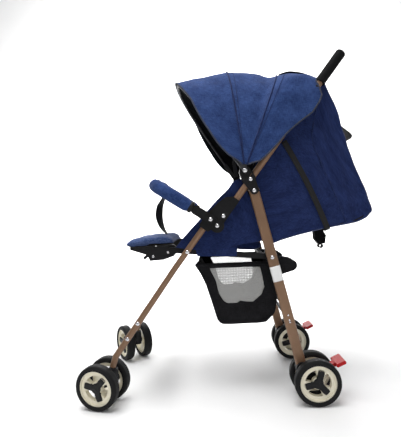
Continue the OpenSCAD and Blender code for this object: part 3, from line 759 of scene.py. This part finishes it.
def pad_object(name, outline, half_width, materials, voxel=6.0, shrink=3.5, cap=7.0, grooves=(),
               round_corner=24.0, inflated=True):
    """A sewn pad: a shrunken block, blown up as cloth, then stitched in along its grooves."""
    outline = inset(outline, shrink)
    half_width -= shrink
    n = len(outline)
    layers = [(-half_width, round_corner * 0.5), (-half_width + round_corner * 0.3, round_corner * 0.15),
              (-half_width + round_corner, 0), (half_width - round_corner, 0),
              (half_width - round_corner * 0.3, round_corner * 0.15), (half_width, round_corner * 0.5)]
    low, high = outline[:, 0].min(), outline[:, 0].max()
    points = []
    for y, pull in layers:
        x = np.clip(outline[:, 0], low + pull, high - pull)
        points += [(a, y, b) for a, b in zip(x, outline[:, 1])]
    faces = ring_faces(len(layers), n) + end_faces(len(layers), n)
    obj = clean(mesh_object(name, np.array(points), faces, materials))
    remesh = obj.modifiers.new("remesh", "REMESH")
    remesh.mode, remesh.voxel_size, remesh.use_smooth_shade = "VOXEL", voxel / 1000, True
    applied(obj)
    start = np.array([v.co for v in obj.data.vertices])
    if inflated:
        cloth = obj.modifiers.new("cloth", "CLOTH")
        cloth.settings.use_pressure = True
        cloth.settings.uniform_pressure_force = 4.0
        cloth.settings.effector_weights.gravity = 0
        cloth.settings.quality = 5
        cloth.point_cache.frame_start, cloth.point_cache.frame_end = 1, CLOTH_FRAMES + 2
        for f in range(1, CLOTH_FRAMES + 1):
            scene.frame_set(f)
        graph = bpy.context.evaluated_depsgraph_get()
        held = obj.evaluated_get(graph).to_mesh()
        end = np.array([v.co for v in held.vertices])
        obj.evaluated_get(graph).to_mesh_clear()
        obj.modifiers.clear()
        scene.frame_set(1)
    else:
        normals = np.array([v.normal for v in obj.data.vertices])
        end = start + normals * cap * 0.0006
    move = end - start
    size = np.linalg.norm(move, axis=1)[:, None]
    move = move * np.minimum(1, cap / 1000 / np.maximum(size, 1e-9))
    final = start + move
    mm = final * 1000 + MID
    normals = np.array([v.normal for v in obj.data.vertices])
    for axis, place, depth, width in grooves:
        line = depth * np.exp(-((mm[:, axis] - place) / width) ** 2)
        final = final - normals * (line / 1000)[:, None]
    obj.data.vertices.foreach_set("co", final.ravel())
    obj.data.update()
    ease = obj.modifiers.new("ease", "SMOOTH")
    ease.factor, ease.iterations = 0.5, 2
    sub = obj.modifiers.new("subdivide", "SUBSURF")
    sub.levels = sub.render_levels = 1
    applied(obj)
    shade_smooth(obj.data)
    return obj


def pad(name, cad_node, body, slot, fill, **shape):
    piece = pad_object(name, **shape)
    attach(piece, body)
    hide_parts(cad_node)
    return piece


# each groove is (axis: 0 along or 1 across, place, depth, width), in mm
pad("seat_cushion", "seat_pad", "seat_frame", "navy_fabric", 0.6, half_width=148, materials=navy_pad, cap=6,
    outline=[(122, 431), (126, 456), (180, 461), (250, 463), (320, 467), (360, 468), (373, 458), (371, 447),
             (330, 444)],
    grooves=[(1, -72, 4.5, 5), (1, 72, 4.5, 5), (0, 208, 4.0, 5), (0, 292, 4.0, 5)])
pad("back_cushion", "backrest_pad", "backrest", "navy_fabric", 0.6, half_width=146, materials=navy_pad, cap=6,
    outline=[(111, 452), (108, 470), (30, 491), (-45, 513), (-130, 526), (-158, 538), (-173, 552), (-187, 550),
             (-184, 534), (-172, 518), (-146, 506), (-45, 491), (30, 473)],
    grooves=[(1, -72, 4.5, 5), (1, 72, 4.5, 5), (0, 38, 4.0, 5), (0, -40, 4.0, 5)])
# its top wears the blue with painted light from above; its underside the black lining
leg_pad = pad("leg_rest_cushion", "leg_rest_pad", "leg_rest", "blue_fabric", 0.5, half_width=145,
              materials=[blue_painted_light, lining_pad], cap=4.5, voxel=5.0, shrink=3.0,
              outline=[(386, 456), (394, 475), (416, 482), (470, 480), (520, 476), (543, 466), (545, 457),
                       (520, 450)],
              grooves=[(0, 448, 3.0, 5), (0, 500, 2.5, 5)])
for p in leg_pad.data.polygons:
    p.material_index = 1 if p.normal.z < -0.35 else 0


# ---- rivets of the leg rest ----
LEG_REST_FACE = 152.5  # mm from the middle of the stroller to the outside of its brackets


def dome(name, place, radius, height, side):
    """A round rivet head that stands out sideways from a place on a face."""
    around = full_turn(24)
    x, y, z = place
    rings = [[(x + radius * math.cos(u) * math.cos(a), side * (y + height * math.sin(u)),
               z + radius * math.cos(u) * math.sin(a)) for a in around] for u in np.linspace(0, 1.45, 7)]
    faces = ring_faces(len(rings), len(around)) + end_faces(len(rings), len(around))
    return clean(mesh_object(name, np.array(rings).reshape(-1, 3), faces, steel))


for side, word in SIDES:
    for i, (x, z) in enumerate(((407, 436), (452, 425))):
        head = dome(f"leg_rest_rivet_{word}_{i + 1}", (x, LEG_REST_FACE - 0.2, z), 4.2, 2.6, side)
        carried(head, "leg_rest")


# ---- bumper's sleeve, and its crotch strap ----
RISE = np.array([math.cos(math.radians(34)), math.sin(math.radians(34))])
BUMPER = np.array([277.03, 528.16])  # its hinge, in x and z
BAR_Y, BAR_LEN, BAR_TURN = 196.5, 190.0, 46.0  # half its width, its reach, and the radius of its corners


def on_bumper(d, y):
    """A place d mm along the bumper from its hinge."""
    p = BUMPER + d * RISE
    return (p[0], y, p[1])


half_path = [on_bumper(d, BAR_Y) for d in np.linspace(66, BAR_LEN - BAR_TURN, 10)]
half_path += [on_bumper(BAR_LEN - BAR_TURN + BAR_TURN * math.sin(a), BAR_Y - BAR_TURN + BAR_TURN * math.cos(a))
              for a in np.linspace(0, math.pi / 2, 12)[1:]]
whole = half_path + [on_bumper(BAR_LEN, y) for y in np.linspace(BAR_Y - BAR_TURN, BAR_TURN - BAR_Y, 24)[1:-1]]
whole += [(x, -y, z) for x, y, z in reversed(half_path)]
sleeve_path = line_points(whole, 230, smooth=False)


def sleeve_swell(share, angle):
    ends = -5.5 * (np.exp(-(share / 0.012) ** 2) + np.exp(-((1 - share) / 0.012) ** 2))
    at_corner = np.exp(-(((np.abs(share - 0.5) - 0.29) / 0.07) ** 2))
    folds = 0.55 * np.sin(share * 150 + 1.3 * np.sin(angle * 2)) * at_corner
    seam = -1.2 * np.exp(-((angle - 4.3) / 0.16) ** 2)
    return 0.4 + ends + folds + seam + 0.5 * np.sin(share * 37 + angle) * np.sin(angle * 3 + share * 11)


sleeve = clean(tube_object("bumper_sleeve", sleeve_path, 19.2, blue, sides=40, swell=sleeve_swell))
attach(sleeve, "bumper")
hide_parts("bumper_pad")


def cuff_swell(share, angle):
    return 1.6 * np.sin(np.pi * share) ** 0.5 + 0 * angle


for side, word in SIDES:
    cuff_path = [on_bumper(d, side * BAR_Y) for d in np.linspace(60, 71, 8)]
    cuff = tube_object(f"bumper_cuff_{word}", cuff_path, 15.2, black_plastic, sides=32, swell=cuff_swell)
    carried(clean(cuff), "bumper")

LOOP_RADIUS = 21.4
bar_x, _, bar_z = on_bumper(BAR_LEN, 0)
loop_path = [(bar_x + LOOP_RADIUS * math.cos(a), 0, bar_z + LOOP_RADIUS * math.sin(a))
             for a in np.linspace(-1.9, 4.38, 48)]
loop = strap_object("crotch_strap_loop", loop_path, (0, 1, 0), 38, 2.2)
drop = line_points([(430, 613), (435, 598), (446, 575), (450, 545), (446, 520), (437, 498), (425, 483)], 40)
twist = 0.52 * np.sin(np.pi * np.linspace(0, 1, 40) ** 0.9)  # radians, most at the middle of its fall
tongue = strap_object("crotch_strap_tongue", at_y(0, drop),
                      np.stack([np.sin(twist), np.cos(twist), 0 * twist], 1), 38, 2.6)
for piece in (loop, tongue):
    carried(piece, "bumper")
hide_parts("crotch_strap")


# ---- harness ----
back_top = [(100, 476.5), (30, 497), (-45, 518.5), (-110, 528.5)]
for i, y in enumerate((62, -62)):
    path = line_points([(x, y + 6 * math.sin(k * 2.1), z + 1.2) for k, (x, z) in enumerate(back_top)], 36)
    belt = strap_object(f"shoulder_strap_{i + 1}", path, (0, 1, 0), 28, 2.0)
    carried(belt, "backrest")
    cover = pad_object(f"shoulder_cover_{i + 1}", half_width=19, voxel=3.0, shrink=1.0, cap=2.5, round_corner=8,
                       inflated=False, materials=lining_pad,
                       outline=[(20, 501), (-40, 518), (-78, 524), (-79, 532), (-40, 528), (18, 511)])
    cover.location.y += y / 1000
    carried(cover, "backrest")
    if i == 0:
        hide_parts("harness")


# ---- side wings, and the skirt over each rail ----
WING_Y, WING_ROWS = 163.6, 34
wing_front = line_points([(381, 449), (357, 477), (304, 531), (256, 581), (222, 612), (206, 632), (186, 641)],
                         WING_ROWS)
wing_back = line_points([(325, 441), (282, 442), (240, 443), (181, 453), (126, 463), (138, 512), (150, 560),
                         (170, 610), (183, 639)], WING_ROWS)
for side, word in SIDES:
    share = np.linspace(0, 1, 22)[None, :, None]
    flat = wing_front[:, None] * (1 - share) + wing_back[:, None] * share
    points = np.stack([flat[..., 0], np.full(flat.shape[:2], WING_Y), flat[..., 1]], -1)
    rows = np.linspace(0, 1, WING_ROWS)[:, None]
    pleats = 2.6 * np.sin(rows * 23 + 3 * share[..., 0]) * np.exp(-(share[..., 0] / 0.5) ** 2)
    lean = np.minimum(1, np.minimum(rows, 1 - rows) * 8)
    points[..., 1] += (np.clip(pleats + rough_noise(points, 34, 21 + side) * 2.4, -4, 4.5) + 1.0) * lean
    points[..., 1] *= side
    wing = clean(thicken(grid_object(f"side_wing_{word}", points, navy), 2.6, subdivide=1, offset=0))
    carried(wing, "seat_frame")
    if side == LEFT:
        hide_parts("side_wings")
    hem_path = at_y(side * (WING_Y + 1.0), wing_front)
    piping = tube_object(f"wing_piping_{word}", hem_path, 2.2, navy, sides=8)
    carried(piping, "seat_frame")
    skirt_rows = []
    for k in np.linspace(0, 1, 10):
        xs = np.linspace(202 + 4 * k, 325 - 4 * k, 30)
        z_top, z_low = [np.interp(xs, (202, 325), ends) for ends in ((447, 442), (416.5, 422))]
        y = 162.8 + 1.2 * np.sin(xs / 9.0) * k + 1.6 * k
        skirt_rows.append(np.stack([xs, side * y, z_top * (1 - k) + z_low * k], -1))
    skirt = grid_object(f"seat_skirt_{word}", np.array(skirt_rows), navy)
    clean(thicken(skirt, 1.4, subdivide=1, offset=0))
    carried(skirt, "seat_frame")


# ---- basket ----
BASKET_HALF = 150.0
BASKET_FLOOR = 236  # mm; the basket's bottom is what lies below this
# in x and z: the basket's side from rim to rim, the edge of the net in it, and a place inside both
rim_down = [(329, 396), (312, 369), (297, 334), (284, 289), (268, 231), (256, 219), (230, 218), (192, 219),
            (154, 219), (128, 221), (108, 240), (101, 250), (95, 286), (91, 341), (97, 396)]
window = [(289, 385), (272, 348), (263, 306), (250, 284), (240, 279), (210, 279), (201, 286), (190, 283),
          (163, 280), (136, 300), (127, 323), (131, 355), (137, 385)]
hub = np.array([200.0, 335.0])


def radial(outline, angles):
    """Where lines from the hub at these angles leave a closed outline."""
    outline = np.asarray(outline, float)
    result = []
    for a in angles:
        way = np.array([math.cos(a), math.sin(a)])
        far = 0
        for p, q in zip(outline, np.roll(outline, -1, 0)):
            both = np.stack([way, p - q], 1)
            if abs(np.linalg.det(both)) > 1e-9:
                t, u = np.linalg.solve(both, p - hub)
                if -1e-6 <= u <= 1 + 1e-6:
                    far = max(far, t)
        result.append(hub + way * far)
    return np.array(result)


angles = full_turn(120)
outer, inner = radial(rim_down, angles), radial(window, angles)


def panel(name, side, rings, material):
    """Cloth in rings about the hub; each is a share of the way from the net's edge to the outline, or below 0 a
    share of the way in to the hub."""
    points = []
    for share in rings:
        flat = inner + (outer - inner) * share if share >= 0 else hub + (inner - hub) * (1 + share)
        gap = np.linalg.norm(flat - hub, axis=1) / np.linalg.norm(outer - hub, axis=1)
        y = BASKET_HALF + 5 * (1 - gap ** 2) - 1.0
        points.append(np.stack([flat[:, 0], y, flat[:, 1]], -1))
    points = np.array(points)
    points[..., 1] = (points[..., 1] + rough_noise(points, 40, 31 + side) * 2.0) * side
    flat = points.reshape(-1, 3)
    return mesh_object(name, flat, ring_faces(*points.shape[:2]), material, flat[:, [0, 2]] / 1000)


RIM_LINE = [(97, 393), (180, 389), (250, 390), (329, 395)]
for side, word in SIDES:
    frame_panel = panel(f"basket_side_{word}", side, np.linspace(0, 1, 9), lining)
    clean(thicken(frame_panel, 1.6, subdivide=1, offset=0))
    carried(frame_panel, "seat_frame")
    net = panel(f"basket_net_{word}", side, np.linspace(0.02, -0.995, 12), window_net)
    clean(thicken(net, 0.7, offset=0))
    carried(net, "seat_frame")
    for kind, line, out, radius, sides in (
            ("net_binding", np.vstack([inner, inner[:1]]), 1.5, 1.8, 8),
            ("edge_binding", np.vstack([outer, outer[:1]]), -0.6, 2.4, 8),
            ("rim", line_points(RIM_LINE, 30), 1.0, 3.4, 10)):
        path = at_y(side * (BASKET_HALF + out), line)
        binding = tube_object(f"basket_{kind}_{word}", path, radius, lining, sides=sides)
        carried(binding, "seat_frame")
strip = line_points(rim_down, 84)
across = np.linspace(-BASKET_HALF + 1, BASKET_HALF - 1, 40)
belly = np.stack(np.broadcast_arrays(strip[:, None, 0], across[None], strip[:, None, 1]), -1)
sag = np.cos(np.pi * across / 2 / BASKET_HALF)[None, :]
inward = hub - strip
inward /= np.linalg.norm(inward, axis=1)[:, None]
give = rough_noise(belly, 50, 41) * 3.0 * sag
belly[..., 0] += inward[:, None, 0] * (give + 7 * sag * (strip[:, None, 1] > BASKET_FLOOR))
belly[..., 2] += inward[:, None, 1] * give - 3.0 * sag * (strip[:, None, 1] < BASKET_FLOOR)
belly_piece = clean(thicken(grid_object("basket_body", belly, lining), 1.8, subdivide=1, offset=0))
carried(belly_piece, "seat_frame")
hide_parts("basket")
for side, word in SIDES:
    lobe = pad_object(f"basket_pocket_{word}", half_width=26, voxel=4.0, shrink=1.0, cap=3, round_corner=8,
                      inflated=False, materials=lining_pad,
                      outline=[(104, 406), (72, 408), (46, 402), (30, 391), (27, 378), (38, 367), (62, 361),
                               (92, 350)])
    lobe.location.y += side * 0.124
    carried(lobe, "seat_frame")


# ---- wheel caps ----
CAP_POINTS = 180
HUB_RADIUS, ARM_HALF, ARM_REACH = 14.5, 8.8, 37.4  # mm: a round hub with three straight arms
REAR_STOP, FRONT_STOP = 13.0, -12.0  # degrees that the wheels stand turned on their axles
CASTER_TURN = {LEFT: 13.7, RIGHT: 55.5}  # degrees that each caster stands turned
AXLE_Z, WHEELS_Y, HALF_GAUGE = 64, 180, 35  # mm: axle height, middle of each pair, and each wheel from it
CASTER_X, TRAIL = 580, 32


def cap_ring():
    """How far the cap's outline is from its axle, all the way round."""
    ring = []
    for a in full_turn(CAP_POINTS):
        off = abs((a + math.pi / 3) % (2 * math.pi / 3) - math.pi / 3)
        arm = min(ARM_HALF / max(math.sin(off), 1e-6), ARM_REACH / math.cos(off))
        ring.append(max(arm, HUB_RADIUS))
    ring = np.array(ring)
    for _ in range(3):
        ring = (np.roll(ring, 1) + 2 * ring + np.roll(ring, -1)) / 4
    return ring


def wheel_cap(name, place):
    spin = full_turn(CAP_POINTS)
    outline = cap_ring()
    rings = []
    for inset_mm, share, height in ((0, 1, 5.0), (0, 1, 9.8), (0.5, 1, 10.8), (1.6, 1, 11.5), (3.4, 1, 11.8),
                                    (3.4, 0.62, 11.8), (3.4, 0.34, 12.0), (3.4, 0.12, 12.4)):
        r = (outline - inset_mm) * share
        rings.append(np.stack([r * np.cos(spin), np.full(CAP_POINTS, height), -r * np.sin(spin)], -1))
    m, n = CAP_POINTS, len(rings)
    points = np.vstack(rings + [np.array([[0, 12.5, 0]])])
    faces = ring_faces(n, m) + [((n - 1) * m + j, (n - 1) * m + (j + 1) % m, n * m) for j in range(m)]
    faces += end_faces(n, m)[:1]
    cap = clean(mesh_object(f"{name}_cap", place(points), faces, black_plastic))
    carried(cap, name)


def turned(p, angle):
    """Points turned about the axle, as the wheel itself is in the frame."""
    c, s = math.cos(math.radians(angle)), math.sin(math.radians(angle))
    return np.stack([p[:, 0] * c + p[:, 2] * s, p[:, 1], p[:, 2] * c - p[:, 0] * s], -1)


def rear_wheel(s, k):
    def place(p):
        p = turned(p, REAR_STOP)
        return np.stack([p[:, 0], s * (WHEELS_Y + k * HALF_GAUGE + k * p[:, 1]), AXLE_Z + p[:, 2]], -1)
    return place


def front_wheel(s, k, turn):
    def place(p):
        p = turned(p, FRONT_STOP)
        c, d = math.cos(math.radians(turn)), math.sin(math.radians(turn))
        x, y = TRAIL + p[:, 0], s * k * (HALF_GAUGE + p[:, 1])
        return np.stack([CASTER_X + c * x + d * y, s * WHEELS_Y - d * x + c * y, AXLE_Z + p[:, 2]], -1)
    return place


for side, word in SIDES:
    for k, end in ((1, "outer"), (-1, "inner")):
        wheel_cap(f"wheel_rear_{word}_{end}", rear_wheel(side, k))
        wheel_cap(f"wheel_front_{word}_{end}", front_wheel(side, k, CASTER_TURN[side]))


# ---- blank label on the near rear leg ----
foot, top = np.array([34.0, 92.0]), np.array([149.68, 605.06])  # the rear leg's ends
LABEL_FLAT, LABEL_OFF = 7.5, 7.9  # mm: half the leg's flat face, and the label's distance from the leg's middle
leg_way = (top - foot) / np.linalg.norm(top - foot)
leg_side = np.array([leg_way[1], -leg_way[0]])
rows = []
for d in np.linspace(258, 302, 12):
    row = []
    for w in np.linspace(-17, 17, 25):
        flat_w = np.clip(w, -LABEL_FLAT, LABEL_FLAT)
        a = (w - flat_w) / LABEL_OFF
        p = foot + leg_way * d + leg_side * (flat_w + LABEL_OFF * math.sin(a))
        row.append((p[0], WHEELS_Y + LABEL_OFF * math.cos(a), p[1]))
    rows.append(row)
sticker = clean(thicken(grid_object("blank_label", np.array(rows), label_paper), 0.2, offset=0))
carried(sticker, "rear_frame")
